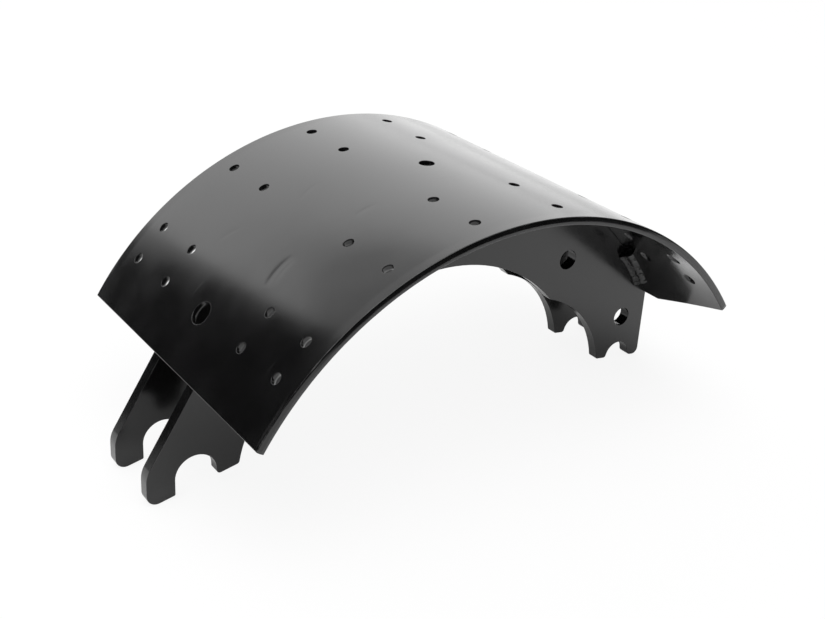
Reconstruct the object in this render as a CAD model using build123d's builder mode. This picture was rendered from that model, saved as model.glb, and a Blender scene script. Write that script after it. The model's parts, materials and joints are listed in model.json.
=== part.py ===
"""Brake shoe of a heavy S-cam drum brake, without its lining.

A curved lining table is carried by two parallel webs. The webs end in half-round seats:
a large pair that pivots on the anchor pin and a small pair that holds the cam roller.
Stitch welds in the corners between the webs and the table hold the three plates together.

The shoe is drawn in its own plane: x runs across the shoe, z runs up its centre line, and
the drum's axis is at (0, 0). That plane is then placed so that the anchor seat's axis is
the origin and the shoe stands level on the four tips of its webs, +Z up, +Y along the drum.
"""

import os
from math import asin, atan2, cos, degrees, hypot, radians, sin, sqrt, tan

from build123d import *

os.makedirs("parts", exist_ok=True)

# --- Driving dimensions (millimetres and degrees) ------------------------------------------

# Lining table: a plate rolled to the drum's curve
TABLE_RADIUS = 189.0  # outer face, under the lining
TABLE_THICKNESS = 4.5
TABLE_WIDTH = 203.0
ANCHOR_END_ANGLE = 58.5  # centre line to the anchor end
CAM_END_ANGLE = 62.7  # centre line to the cam end
CAM_TONGUE_WIDTH = 74.0  # straight stretch in the middle of the cam end
CAM_CORNER_SETBACK = 25.5  # how far each corner is cut back at the table's edge

# Rivet holes: the same rows on both halves, for two linings
RIVET_HOLE_DIAMETER = 6.2
RIVET_ROW_PITCH = 16.56  # angle between rows
RIVET_ROWS_PER_HALF = 3
RIVET_END_ROW_PITCH = 7.0  # angle from the last full row to the extra row at the end
RIVET_INNER_SPACING = 92.4  # across the centre line
RIVET_OUTER_SPACING = 167.0

# Locating holes on the table's centre line, between the webs
CENTRE_HOLE_DIAMETER = 9.0
END_HOLE_DIAMETER = 13.5

# Webs: two equal plates
WEB_THICKNESS = 6.0
WEB_GAP = 38.0  # clear space between them
CROWN_DEPTH = 51.0  # depth of a web at the centre line
CROWN_RADIUS = 110.0  # inner edge over the crown
LEG_RADIUS = 67.3  # inner edge down each leg
LEG_CENTRE_DROP = 10.4  # centre of that arc below the seat's axis

# Anchor end
ANCHOR_SEAT_RADIUS = 12.25
ANCHOR_SEAT_DROP = 53.5  # seat axis below the table's end
ANCHOR_MOUTH_DEPTH = 6.4  # seat axis above the foot line
ANCHOR_FOOT_SLOPE = 13.2  # foot line falls outwards
HEEL_WALL = 16.5  # outside the seat
HEEL_INNER_WALL = 12.8  # inside the seat
HEEL_BEND_RADIUS = 15.0
HEEL_TIP_RADIUS = 6.0

# Cam end
ROLLER_SEAT_RADIUS = 9.5
ROLLER_SEAT_DROP = 41.6
ROLLER_MOUTH_DEPTH = 0.8
ROLLER_FOOT_SLOPE = 6.9
TOE_WALL = 9.3
TOE_INNER_WALL = 6.9
TOE_TIP_RADIUS = 4.2
TOE_SEAT_RADIUS = 3.3  # rounding between the seat and the toe
TOE_TIP_SHARE = 0.46  # most of the toe's foot that its tip's rounding may take
TOE_SEAT_SHARE = 0.36  # and the seat's rounding, which shares that foot

# Small roundings of the web's outline
LIP_RADIUS = 2.0
CORNER_RADIUS = 1.0

# Spring holes through both webs
SPRING_HOLE_DIAMETER = 12.5
SPRING_HOLE_ANGLE = 37.5
SPRING_HOLE_INSET = 31.7  # below the table's underside
RETAINER_HOLE_DIAMETER = 12.2
RETAINER_HOLE_RISE = 28.1  # above the roller seat's axis

# Stitch welds on the outer side of each web
BEAD_LEG = 5.2
BEAD_CROWN_OFFSET = 2.0  # the bead's round face is centred this far inside both plates
BEAD_LENGTH = 30.0
BEADS_PER_WEB = 4
BEAD_END_MARGIN = 27.2  # table's end to the middle of the first bead, along the joint

# --- Places worked out from them -----------------------------------------------------------

INNER_RADIUS = TABLE_RADIUS - TABLE_THICKNESS
SWEEP_ANGLE = ANCHOR_END_ANGLE + CAM_END_ANGLE
SWEEP_START = 90 - CAM_END_ANGLE  # from the shoe plane's x axis to the cam end
WEB_OUTER_FACE = WEB_GAP / 2 + WEB_THICKNESS
THROUGH = 4 * TABLE_THICKNESS  # depth of a cut that passes right through the curved table


def at_angle(angle, radius):
    """Point in the shoe's plane at an angle from the centre line, positive to the cam end."""
    return Vector(radius * sin(radians(angle)), radius * cos(radians(angle)))


anchor_corner = at_angle(-ANCHOR_END_ANGLE, INNER_RADIUS)
cam_corner = at_angle(CAM_END_ANGLE, INNER_RADIUS)

anchor_seat = Vector(anchor_corner.X, anchor_corner.Y - ANCHOR_SEAT_DROP)
roller_seat = Vector(
    cam_corner.X - TOE_WALL - ROLLER_SEAT_RADIUS,
    cam_corner.Y - ROLLER_SEAT_DROP,
)

heel_x = anchor_seat.X - ANCHOR_SEAT_RADIUS - HEEL_WALL
toe_x = cam_corner.X

toe_tip_radius = min(TOE_TIP_RADIUS, TOE_TIP_SHARE * TOE_WALL)
toe_seat_radius = min(TOE_SEAT_RADIUS, TOE_SEAT_SHARE * TOE_WALL)


def anchor_foot(x):
    """Height of the line that the anchor end's two lips are cut to."""
    base = anchor_seat.Y - ANCHOR_MOUTH_DEPTH
    return base + (x - anchor_seat.X) * tan(radians(ANCHOR_FOOT_SLOPE))


def roller_foot(x):
    """Height of the line that the cam end's two lips are cut to."""
    base = roller_seat.Y - ROLLER_MOUTH_DEPTH
    return base - (x - roller_seat.X) * tan(radians(ROLLER_FOOT_SLOPE))


crown_centre = Vector(0, INNER_RADIUS - CROWN_DEPTH - CROWN_RADIUS)
anchor_leg_centre = Vector(
    anchor_seat.X + ANCHOR_SEAT_RADIUS + HEEL_INNER_WALL + LEG_RADIUS,
    anchor_seat.Y - LEG_CENTRE_DROP,
)
cam_leg_centre = Vector(
    roller_seat.X - ROLLER_SEAT_RADIUS - TOE_INNER_WALL - LEG_RADIUS,
    roller_seat.Y - LEG_CENTRE_DROP,
)

# The shoe stands on the round tips of its heel and toe: the level line touches both.
heel_tip = Vector(
    heel_x + HEEL_TIP_RADIUS,
    anchor_foot(heel_x + HEEL_TIP_RADIUS) + HEEL_TIP_RADIUS / cos(radians(ANCHOR_FOOT_SLOPE)),
)
toe_tip = Vector(
    toe_x - toe_tip_radius,
    roller_foot(toe_x - toe_tip_radius) + toe_tip_radius / cos(radians(ROLLER_FOOT_SLOPE)),
)
tip_span = hypot(toe_tip.X - heel_tip.X, toe_tip.Y - heel_tip.Y)
rest_angle = degrees(
    atan2(toe_tip.Y - heel_tip.Y, toe_tip.X - heel_tip.X)
    - asin((toe_tip_radius - HEEL_TIP_RADIUS) / tip_span)
)

across = Vector(cos(radians(rest_angle)), 0, -sin(radians(rest_angle)))
upward = Vector(sin(radians(rest_angle)), 0, cos(radians(rest_angle)))
drum_axis = -(across * anchor_seat.X + upward * anchor_seat.Y)
SHOE = Plane(origin=drum_axis, x_dir=across, z_dir=(0, -1, 0))


def on_table(angle, side, radius=TABLE_RADIUS):
    """Plane on the table's face: x runs towards the cam end, z points out of the shoe."""
    outward = across * sin(radians(angle)) + upward * cos(radians(angle))
    along = across * cos(radians(angle)) - upward * sin(radians(angle))
    origin = drum_axis + outward * radius + Vector(0, side, 0)
    return Plane(origin=origin, x_dir=along, z_dir=outward)


# --- Lining table --------------------------------------------------------------------------

row_angles = [RIVET_ROW_PITCH * (row + 0.5) for row in range(RIVET_ROWS_PER_HALF)]
row_angles.append(row_angles[-1] + RIVET_END_ROW_PITCH)
columns = [spacing / 2 for spacing in (RIVET_INNER_SPACING, RIVET_OUTER_SPACING)]
rivet_places = [
    on_table(half * angle, side * column)
    for half in (-1, 1)
    for angle in row_angles
    for side in (-1, 1)
    for column in columns
]

with BuildPart() as lining_table:
    with BuildSketch(SHOE):
        with BuildLine():
            outer = CenterArc((0, 0), TABLE_RADIUS, SWEEP_START, SWEEP_ANGLE)
            inner = CenterArc((0, 0), INNER_RADIUS, SWEEP_START, SWEEP_ANGLE)
            Line(outer @ 0, inner @ 0)
            Line(outer @ 1, inner @ 1)
        make_face()
    extrude(amount=TABLE_WIDTH / 2, both=True)

    # Both corners of the cam end are sheared off, which leaves a tongue behind the webs.
    with BuildSketch(on_table(CAM_END_ANGLE, 0)):
        edge = TABLE_WIDTH / 2
        tongue = CAM_TONGUE_WIDTH / 2
        slope = CAM_CORNER_SETBACK / (edge - tongue)
        overrun = edge + THROUGH
        with BuildLine():
            Polyline(
                (0, tongue),
                (-slope * (overrun - tongue), overrun),
                (THROUGH, overrun),
                (THROUGH, tongue),
                close=True,
            )
        make_face()
        mirror(about=Plane.XZ)
    extrude(amount=-2 * THROUGH, mode=Mode.SUBTRACT)

    with Locations(*rivet_places):
        Hole(radius=RIVET_HOLE_DIAMETER / 2, depth=THROUGH)
    with Locations(on_table(0, 0)):
        Hole(radius=CENTRE_HOLE_DIAMETER / 2, depth=THROUGH)
    with Locations(on_table(-row_angles[-1], 0)):
        Hole(radius=END_HOLE_DIAMETER / 2, depth=THROUGH)

lining_table.part.label = "lining_table"
export_step(lining_table.part, "parts/lining_table.step")

# --- Webs ----------------------------------------------------------------------------------


def foot_corner(foot, slope, centre, radius, direction):
    """Point where a foot line meets a round cut, on the side that direction gives."""
    run = cos(radians(slope))
    rise = (foot(centre.X + 1) - foot(centre.X)) * run
    gap = foot(centre.X) - centre.Y
    middle = -gap * rise
    reach = middle + direction * sqrt(middle * middle - gap * gap + radius * radius)
    return Vector(centre.X + reach * run, foot(centre.X + reach * run))


with BuildSketch(SHOE) as web_outline:
    with BuildLine():
        joint = CenterArc((0, 0), INNER_RADIUS, SWEEP_START, SWEEP_ANGLE)
        # The heel's back runs on from the table's end as a tangent.
        heel_run = (anchor_corner.X - heel_x) / cos(radians(ANCHOR_END_ANGLE))
        heel_bend = (heel_x, anchor_corner.Y - heel_run * sin(radians(ANCHOR_END_ANGLE)))
        heel_foot = (heel_x, anchor_foot(heel_x))
        toe_foot = (toe_x, roller_foot(toe_x))
        inside_left = (anchor_leg_centre.X, anchor_foot(anchor_leg_centre.X))
        inside_right = (cam_leg_centre.X, roller_foot(cam_leg_centre.X))
        Polyline(
            joint @ 1, heel_bend, heel_foot, inside_left, inside_right, toe_foot, joint @ 0
        )
    make_face()

    # Inner edge: one arc over the crown and one down each leg
    with Locations(crown_centre):
        Circle(CROWN_RADIUS, mode=Mode.SUBTRACT)
    with Locations(anchor_leg_centre, cam_leg_centre):
        Circle(LEG_RADIUS, mode=Mode.SUBTRACT)

    # Half-round seats. The anchor's has straight walls down to the foot line.
    with Locations(roller_seat):
        Circle(ROLLER_SEAT_RADIUS, mode=Mode.SUBTRACT)
    with Locations(anchor_seat):
        Circle(ANCHOR_SEAT_RADIUS, mode=Mode.SUBTRACT)
        Rectangle(
            2 * ANCHOR_SEAT_RADIUS,
            2 * ANCHOR_SEAT_RADIUS,
            align=(Align.CENTER, Align.MAX),
            mode=Mode.SUBTRACT,
        )

    # Spring hole below the table, and retainer hole above the roller seat
    with Locations(at_angle(SPRING_HOLE_ANGLE, INNER_RADIUS - SPRING_HOLE_INSET)):
        Circle(SPRING_HOLE_DIAMETER / 2, mode=Mode.SUBTRACT)
    with Locations(roller_seat + Vector(0, RETAINER_HOLE_RISE)):
        Circle(RETAINER_HOLE_DIAMETER / 2, mode=Mode.SUBTRACT)

    outer_lip = anchor_seat.X - ANCHOR_SEAT_RADIUS
    inner_lip = anchor_seat.X + ANCHOR_SEAT_RADIUS
    anchor_cut = (anchor_foot, ANCHOR_FOOT_SLOPE)
    roller_cut = (roller_foot, ROLLER_FOOT_SLOPE)
    roundings = (
        (heel_bend, HEEL_BEND_RADIUS),
        (heel_foot, HEEL_TIP_RADIUS),
        ((outer_lip, anchor_foot(outer_lip)), CORNER_RADIUS),
        ((inner_lip, anchor_foot(inner_lip)), LIP_RADIUS),
        (foot_corner(*anchor_cut, anchor_leg_centre, LEG_RADIUS, -1), LIP_RADIUS),
        (foot_corner(*roller_cut, cam_leg_centre, LEG_RADIUS, 1), CORNER_RADIUS),
        (foot_corner(*roller_cut, roller_seat, ROLLER_SEAT_RADIUS, -1), LIP_RADIUS),
        (foot_corner(*roller_cut, roller_seat, ROLLER_SEAT_RADIUS, 1), toe_seat_radius),
        (toe_foot, toe_tip_radius),
    )
    for corner, radius in roundings:
        fillet(web_outline.vertices().sort_by_distance(corner)[0], radius)

with BuildPart() as web_front:
    inner_face = web_outline.sketch.moved(Location((0, -WEB_GAP / 2, 0)))
    extrude(inner_face, amount=WEB_THICKNESS)

web_front.part.label = "web_front"
export_step(web_front.part, "parts/web_front.step")

with BuildPart() as web_rear:
    outer_face = web_outline.sketch.moved(Location((0, WEB_OUTER_FACE, 0)))
    extrude(outer_face, amount=WEB_THICKNESS)

web_rear.part.label = "web_rear"
export_step(web_rear.part, "parts/web_rear.step")

# --- Stitch welds --------------------------------------------------------------------------

bead_face_radius = hypot(BEAD_LEG + BEAD_CROWN_OFFSET, BEAD_CROWN_OFFSET)
bead_radius = INNER_RADIUS + BEAD_CROWN_OFFSET
bead_side = WEB_OUTER_FACE - BEAD_CROWN_OFFSET
bead_run = degrees((BEAD_LENGTH - 2 * BEAD_LEG) / INNER_RADIUS)
end_margin = degrees(BEAD_END_MARGIN / INNER_RADIUS)
first_bead = end_margin - ANCHOR_END_ANGLE
bead_pitch = (CAM_END_ANGLE - end_margin - first_bead) / (BEADS_PER_WEB - 1)
bead_angles = [first_bead + bead_pitch * number for number in range(BEADS_PER_WEB)]

with BuildPart() as welds_front:
    for angle in bead_angles:
        start = on_table(angle - bead_run / 2, -bead_side, bead_radius)
        finish = on_table(angle + bead_run / 2, -bead_side, bead_radius)
        with BuildSketch(Plane(origin=start.origin, x_dir=(0, 1, 0), z_dir=start.x_dir)):
            Circle(bead_face_radius)
        revolve(axis=Axis(drum_axis, (0, 1, 0)), revolution_arc=bead_run)
        with Locations(start, finish):
            Sphere(bead_face_radius)
    # Only what lies in the corner is weld: inside the table and outside the web.
    with Locations(Plane(origin=drum_axis - Vector(0, WEB_OUTER_FACE, 0), z_dir=(0, -1, 0))):
        Cylinder(
            INNER_RADIUS,
            2 * bead_face_radius,
            align=(Align.CENTER, Align.CENTER, Align.MIN),
            mode=Mode.INTERSECT,
        )

welds_front.part.label = "welds_front"
export_step(welds_front.part, "parts/welds_front.step")

with BuildPart() as welds_rear:
    add(mirror(welds_front.part, about=Plane.XZ, mode=Mode.PRIVATE))

welds_rear.part.label = "welds_rear"
export_step(welds_rear.part, "parts/welds_rear.step")
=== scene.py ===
"""Looks of a drum brake shoe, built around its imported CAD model.

The rolled table, the two webs and their stitch welds get finished meshes: punched holes with
rolled rims, sheared edges, rippled beads, and one coat of semi-gloss black paint over them all.

Sizes are in metres and angles in degrees unless a name says otherwise. The table and the welds
are made in the shoe's own plane, with the drum's axis at the origin, and then placed by
ShoePlacement. The webs start from their solids, which lie in place.
"""

from __future__ import annotations

import json
import logging
from collections.abc import Sequence
from dataclasses import dataclass
from enum import Enum
from math import atan2, hypot, pi, radians

import bmesh
import bpy
import numpy as np
from mathutils import Matrix, Vector

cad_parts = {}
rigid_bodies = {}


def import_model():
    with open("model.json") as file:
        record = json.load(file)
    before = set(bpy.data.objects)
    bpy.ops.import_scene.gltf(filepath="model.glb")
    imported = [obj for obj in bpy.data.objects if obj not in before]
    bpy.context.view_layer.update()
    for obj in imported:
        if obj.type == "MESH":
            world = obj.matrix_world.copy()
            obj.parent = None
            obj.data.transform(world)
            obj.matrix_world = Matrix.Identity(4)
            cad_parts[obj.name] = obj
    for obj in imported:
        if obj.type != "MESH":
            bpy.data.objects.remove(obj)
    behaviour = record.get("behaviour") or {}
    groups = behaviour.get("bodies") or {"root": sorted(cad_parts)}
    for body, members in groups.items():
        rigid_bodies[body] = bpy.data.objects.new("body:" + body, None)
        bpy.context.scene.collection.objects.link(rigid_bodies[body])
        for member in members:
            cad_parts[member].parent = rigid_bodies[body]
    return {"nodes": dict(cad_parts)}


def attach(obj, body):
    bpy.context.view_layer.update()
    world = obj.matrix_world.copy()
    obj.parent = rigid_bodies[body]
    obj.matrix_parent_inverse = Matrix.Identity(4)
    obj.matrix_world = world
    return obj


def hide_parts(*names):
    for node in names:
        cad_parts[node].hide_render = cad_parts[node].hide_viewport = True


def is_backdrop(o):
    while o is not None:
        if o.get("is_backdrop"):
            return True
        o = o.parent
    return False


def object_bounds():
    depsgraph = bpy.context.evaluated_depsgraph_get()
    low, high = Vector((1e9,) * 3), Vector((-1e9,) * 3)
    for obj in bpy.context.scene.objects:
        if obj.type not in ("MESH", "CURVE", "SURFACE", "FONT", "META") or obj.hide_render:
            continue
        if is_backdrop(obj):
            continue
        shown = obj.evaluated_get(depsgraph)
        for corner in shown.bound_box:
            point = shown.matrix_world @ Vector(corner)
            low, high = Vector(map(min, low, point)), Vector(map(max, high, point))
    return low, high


LOG = logging.getLogger("brake_shoe")
BODY = "root"

# Marks that the meshes carry for their finish
RIM_MARK = "rim"
FRACTURE_MARK = "fracture"

Socket = bpy.types.NodeSocket
NodeTree = bpy.types.NodeTree
Material = bpy.types.Material
Piece = bpy.types.Object
Point = tuple[float, float, float]
Setting = float | int | bool | str | Sequence[float] | Socket | Material


class NodeKind(Enum):
    """The kinds of node tree that the script writes."""

    GEOMETRY = "GeometryNodeTree"
    SHADER = "ShaderNodeTree"


class SocketKind(Enum):
    """The kinds of value that a group takes or gives."""

    NUMBER = "NodeSocketFloat"
    COUNT = "NodeSocketInt"
    VECTOR = "NodeSocketVector"
    GEOMETRY = "NodeSocketGeometry"


class Slot(Enum):
    """The record's material slots."""

    PAINT = "black_paint"
    WELD = "painted_weld"


# --- Node trees ----------------------------------------------------------------------------


class TreeWriter:
    """Writes nodes into a tree, with each of their inputs set or linked."""

    def __init__(self, tree: NodeTree) -> None:
        """Starts writing into a tree.

        Args:
            tree: The tree of a group, a material or the world.
        """
        self.tree = tree
        self.entry: bpy.types.Node | None = None
        self.exit: bpy.types.Node | None = None

    @classmethod
    def group(cls, name: str, kind: NodeKind) -> TreeWriter:
        """Makes a new node group.

        Args:
            name: The group's name.
            kind: Whether it holds geometry or shader nodes.

        Returns:
            A writer with the group's input and output nodes in place.
        """
        writer = cls(bpy.data.node_groups.new(name, kind.value))
        writer.entry = writer.tree.nodes.new("NodeGroupInput")
        writer.exit = writer.tree.nodes.new("NodeGroupOutput")
        return writer

    @classmethod
    def within(cls, holder: Material | bpy.types.World) -> TreeWriter:
        """Empties the own tree of a material or the world.

        Args:
            holder: The material or the world.

        Returns:
            A writer for its tree.
        """
        holder.use_nodes = True
        holder.node_tree.nodes.clear()
        return cls(holder.node_tree)

    def socket_in(
        self, name: str, kind: SocketKind = SocketKind.NUMBER, default: float | None = None
    ) -> Socket:
        """Adds a named input to the group.

        Args:
            name: The input's name.
            kind: Its kind.
            default: Its value where nothing else is given.

        Returns:
            The socket that the group's nodes read it from.
        """
        item = self.tree.interface.new_socket(name=name, in_out="INPUT", socket_type=kind.value)
        if default is not None:
            item.default_value = default
        return self.entry.outputs[name]

    def sizes_in(self, values: dict[str, float | int]) -> dict[str, Socket]:
        """Adds a named input for each size of a piece.

        Args:
            values: The sizes, by name.

        Returns:
            The sockets that the group's nodes read them from, by name.
        """
        sockets = {}
        for name, value in values.items():
            kind = SocketKind.COUNT if isinstance(value, int) else SocketKind.NUMBER
            sockets[name] = self.socket_in(name, kind)
        return sockets

    def socket_out(
        self, name: str, source: Socket, kind: SocketKind = SocketKind.NUMBER
    ) -> None:
        """Adds a named output to the group.

        Args:
            name: The output's name.
            source: The socket that feeds it.
            kind: Its kind.
        """
        self.tree.interface.new_socket(name=name, in_out="OUTPUT", socket_type=kind.value)
        self.tree.links.new(source, self.exit.inputs[name])

    def feed(self, socket: Socket, value: Setting) -> None:
        """Links a socket to another one, or sets its value.

        Args:
            socket: The input.
            value: The socket that feeds it, or its value.
        """
        if isinstance(value, Socket):
            self.tree.links.new(value, socket)
        else:
            socket.default_value = value

    def add(
        self, kind: str, inputs: dict[str | int, Setting] | None = None, **settings: object
    ) -> bpy.types.Node:
        """Adds a node.

        Args:
            kind: The node's type.
            inputs: Values or sockets for its inputs, by name or number.
            settings: Values for the node's own properties.

        Returns:
            The node.
        """
        node = self.tree.nodes.new(kind)
        for name, value in settings.items():
            setattr(node, name, value)
        for key, value in (inputs or {}).items():
            self.feed(node.inputs[key], value)
        return node

    def end(self, kind: str, shader: bpy.types.Node) -> None:
        """Adds the output node of a material or the world, fed by a shader."""
        self.feed(self.add(kind).inputs[0], shader.outputs[0])

    def math(self, operation: str, *operands: Setting) -> Socket:
        """Adds a Math node and returns its result."""
        return self.add("ShaderNodeMath", dict(enumerate(operands)), operation=operation).outputs[0]

    def clamp(self, value: Setting, low: Setting, high: Setting) -> Socket:
        """Keeps a value between two limits and returns it."""
        return self.math("MINIMUM", self.math("MAXIMUM", value, low), high)

    def vector(self, operation: str, *operands: Setting) -> Socket:
        """Adds a Vector Math node and returns its vector."""
        node = self.add("ShaderNodeVectorMath", dict(enumerate(operands)), operation=operation)
        return node.outputs["Vector"]

    def split(self, source: Socket) -> Sequence[Socket]:
        """Takes a vector apart and returns its X, Y and Z."""
        return self.add("ShaderNodeSeparateXYZ", {0: source}).outputs

    def joined(self, x: Setting, y: Setting, z: Setting) -> Socket:
        """Puts X, Y and Z together and returns the vector."""
        return self.add("ShaderNodeCombineXYZ", {0: x, 1: y, 2: z}).outputs[0]

    def use(self, group: NodeTree, inputs: dict[str, Setting]) -> Sequence[Socket]:
        """Places a node group with its own values.

        Args:
            group: The group to place.
            inputs: Values or sockets for its named inputs.

        Returns:
            The group's outputs.
        """
        is_geometry = self.tree.bl_idname == NodeKind.GEOMETRY.value
        node = self.add("GeometryNodeGroup" if is_geometry else "ShaderNodeGroup", node_tree=group)
        for name, value in inputs.items():
            self.feed(node.inputs[name], value)
        return node.outputs

    def mix(self, factor: Setting, low: Setting, high: Setting) -> Socket:
        """Mixes two colours and returns the result."""
        return self.add("ShaderNodeMix", {0: factor, 6: low, 7: high}, data_type="RGBA").outputs[2]

    def span(
        self, value: Setting, source: tuple[float, float], target: tuple[float, float] = (0.0, 1.0)
    ) -> Socket:
        """Maps a range of values smoothly onto another.

        Args:
            value: The value to map.
            source: The range that it runs through.
            target: The range that it is mapped to, and kept in.

        Returns:
            The mapped value.
        """
        inputs = {0: value, 1: source[0], 2: source[1], 3: target[0], 4: target[1]}
        node = self.add("ShaderNodeMapRange", inputs, interpolation_type="SMOOTHSTEP")
        return node.outputs[0]

    def speckle(self, place: Setting, scale: Setting, detail: float = 2.0) -> Socket:
        """Adds a Noise texture and returns its value."""
        inputs = {"Vector": place, "Scale": scale, "Detail": detail}
        return self.add("ShaderNodeTexNoise", inputs).outputs[0]

    def place(self) -> Socket:
        """Returns the place of each vertex."""
        return self.add("GeometryNodeInputPosition").outputs[0]

    def noted(self, name: str, kind: str) -> Socket:
        """Returns a value that the mesh carries."""
        return self.add("GeometryNodeInputNamedAttribute", {"Name": name}, data_type=kind).outputs[0]

    def moved(self, work: Socket, place: Socket) -> Socket:
        """Moves each vertex to its new place and returns the geometry."""
        return self.add("GeometryNodeSetPosition", {"Geometry": work, "Position": place}).outputs[0]

    def repeat(self, points: Socket, part: Socket, note: str) -> tuple[Socket, Socket]:
        """Puts a part on each point.

        Args:
            points: The points.
            part: The part that is repeated.
            note: The name under which each part carries its point.

        Returns:
            The parts as real geometry, and the point of each vertex's part.
        """
        inputs = {"Geometry": points, "Name": note, "Value": self.place()}
        node = "GeometryNodeStoreNamedAttribute"
        stored = self.add(node, inputs, data_type="FLOAT_VECTOR", domain="POINT")
        inputs = {"Points": stored.outputs[0], "Instance": part}
        parts = self.add("GeometryNodeInstanceOnPoints", inputs)
        real = self.add("GeometryNodeRealizeInstances", {0: parts.outputs[0]})
        return real.outputs[0], self.noted(note, "FLOAT_VECTOR")

    def give_out(self, work: Socket, material: Material) -> NodeTree:
        """Smooths the finished work, paints it and makes it the tree's output.

        Args:
            work: The geometry.
            material: Its finish.

        Returns:
            The tree.
        """
        smooth = self.add("GeometryNodeSetShadeSmooth", {"Geometry": work})
        real = self.add("GeometryNodeRealizeInstances", {0: smooth.outputs[0]})
        inputs = {"Geometry": real.outputs[0], "Material": material}
        painted = self.add("GeometryNodeSetMaterial", inputs)
        self.socket_out("Work", painted.outputs[0], SocketKind.GEOMETRY)
        return self.tree


def new_object(name: str, data: bpy.types.ID) -> Piece:
    """Makes an object and links it to the scene.

    Args:
        name: Its name.
        data: Its mesh, lamp or camera.

    Returns:
        The object.
    """
    made = bpy.data.objects.new(name, data)
    bpy.context.scene.collection.objects.link(made)
    return made


def run_tree(
    tree: NodeTree, base: bpy.types.Mesh, values: dict[str, float | int], name: str
) -> Piece:
    """Runs a Geometry Nodes tree on a mesh and keeps the result as a plain mesh.

    Args:
        tree: The tree.
        base: The mesh that goes into it.
        values: Values for its named inputs.
        name: The finished object's name.

    Returns:
        An object that holds the result, with no modifier on it.
    """
    worker = new_object(name + "_worker", base)
    modifier = worker.modifiers.new("tree", "NODES")
    modifier.node_group = tree
    for item in tree.interface.items_tree:
        if item.name in values:
            modifier[item.identifier] = values[item.name]
    graph = bpy.context.evaluated_depsgraph_get()
    mesh = bpy.data.meshes.new_from_object(worker.evaluated_get(graph), depsgraph=graph)
    mesh.name = name
    bpy.data.objects.remove(worker)
    return new_object(name, mesh)


def roll_group() -> NodeTree:
    """Makes the group that rolls flat work round the drum's axis.

    Returns:
        A group that takes x as the length along a cylinder and z as the height over it.
    """
    writer = TreeWriter.group("roll_to_drum", NodeKind.GEOMETRY)
    flat = writer.socket_in("Geometry", SocketKind.GEOMETRY)
    base_radius = writer.socket_in("Base Radius")
    neutral = writer.socket_in("Neutral Height")
    x, y, z = writer.split(writer.place())
    angle = writer.math("DIVIDE", x, writer.math("ADD", base_radius, neutral))
    radius = writer.math("ADD", base_radius, z)
    rolled = writer.joined(
        writer.math("MULTIPLY", radius, writer.math("SINE", angle)),
        y,
        writer.math("MULTIPLY", radius, writer.math("COSINE", angle)),
    )
    writer.socket_out("Geometry", writer.moved(flat, rolled), SocketKind.GEOMETRY)
    return writer.tree


# Rows of vertices down an edge, counted from the middle of its thickness
FLAT_ROWS = 2.5  # where the straight wall ends and the rounding starts
ROUND_ROWS = 3.0  # rows in the rounding
RIM_ROWS = FLAT_ROWS + ROUND_ROWS
PLATE_ROWS = 11
CUTTER_ROWS = 13


def rim_group() -> NodeTree:
    """Makes the group that rounds an edge of the plate.

    Returns:
        A group that gives a row's height over the plate's middle and its inset from the wall.
    """
    writer = TreeWriter.group("rim_profile", NodeKind.GEOMETRY)
    row = writer.socket_in("Row")
    thickness = writer.socket_in("Thickness")
    rounding = writer.socket_in("Rounding")
    step = writer.clamp(writer.math("SUBTRACT", row, FLAT_ROWS), 0.0, ROUND_ROWS)
    angle = writer.math("MULTIPLY", step, pi / 2 / ROUND_ROWS)
    share = writer.math("MINIMUM", writer.math("DIVIDE", row, FLAT_ROWS), 1.0)
    wall = writer.math("SUBTRACT", writer.math("MULTIPLY", thickness, 0.5), rounding)
    rise = writer.math("MULTIPLY", rounding, writer.math("SINE", angle))
    height = writer.math("ADD", writer.math("MULTIPLY", wall, share), rise)
    turn = writer.math("SUBTRACT", 1.0, writer.math("COSINE", angle))
    writer.socket_out("Height", height)
    writer.socket_out("Inset", writer.math("MULTIPLY", rounding, turn))
    return writer.tree


# --- Finishes ------------------------------------------------------------------------------


@dataclass(frozen=True)
class DipCoat:
    """A coat of black paint over steel, with its small faults.

    Attributes:
        name: The material's name.
        colour: The paint's colour.
        worn_colour: Its colour where it is thin, on rims and rubbed spots.
        roughness: How rough the paint is where it is clean.
        grain_size: Waves of the paint's skin per metre.
        grain_depth: Height of those waves.
        rub: How much of the rims is thin, from 0 to 1.
        haze: How much the clean paint's roughness varies.
    """

    name: str
    colour: Point
    worn_colour: Point
    roughness: float
    grain_size: float
    grain_depth: float
    rub: float
    haze: float


# The darkest tone of a coat, as a share of its colour
DEEP_TONE = 0.72
# How much thin, worn and rubbed paint shows the worn colour
THIN_TINT, WEAR_TINT, RUB_TINT = 0.8, 0.75, 0.25
# How much rubs, torn walls and worn rims add to the roughness
RUB_ROUGH, TORN_ROUGH, WEAR_ROUGH = 0.10, 0.22, 0.10
# Grains of a torn wall per metre, and the heights of grains and scratches in skin waves
GRIT_GRAINS, GRIT_HEIGHT, HAIR_HEIGHT = 1400.0, 5.0, -0.9
PAINT_IOR = 1.5


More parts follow.
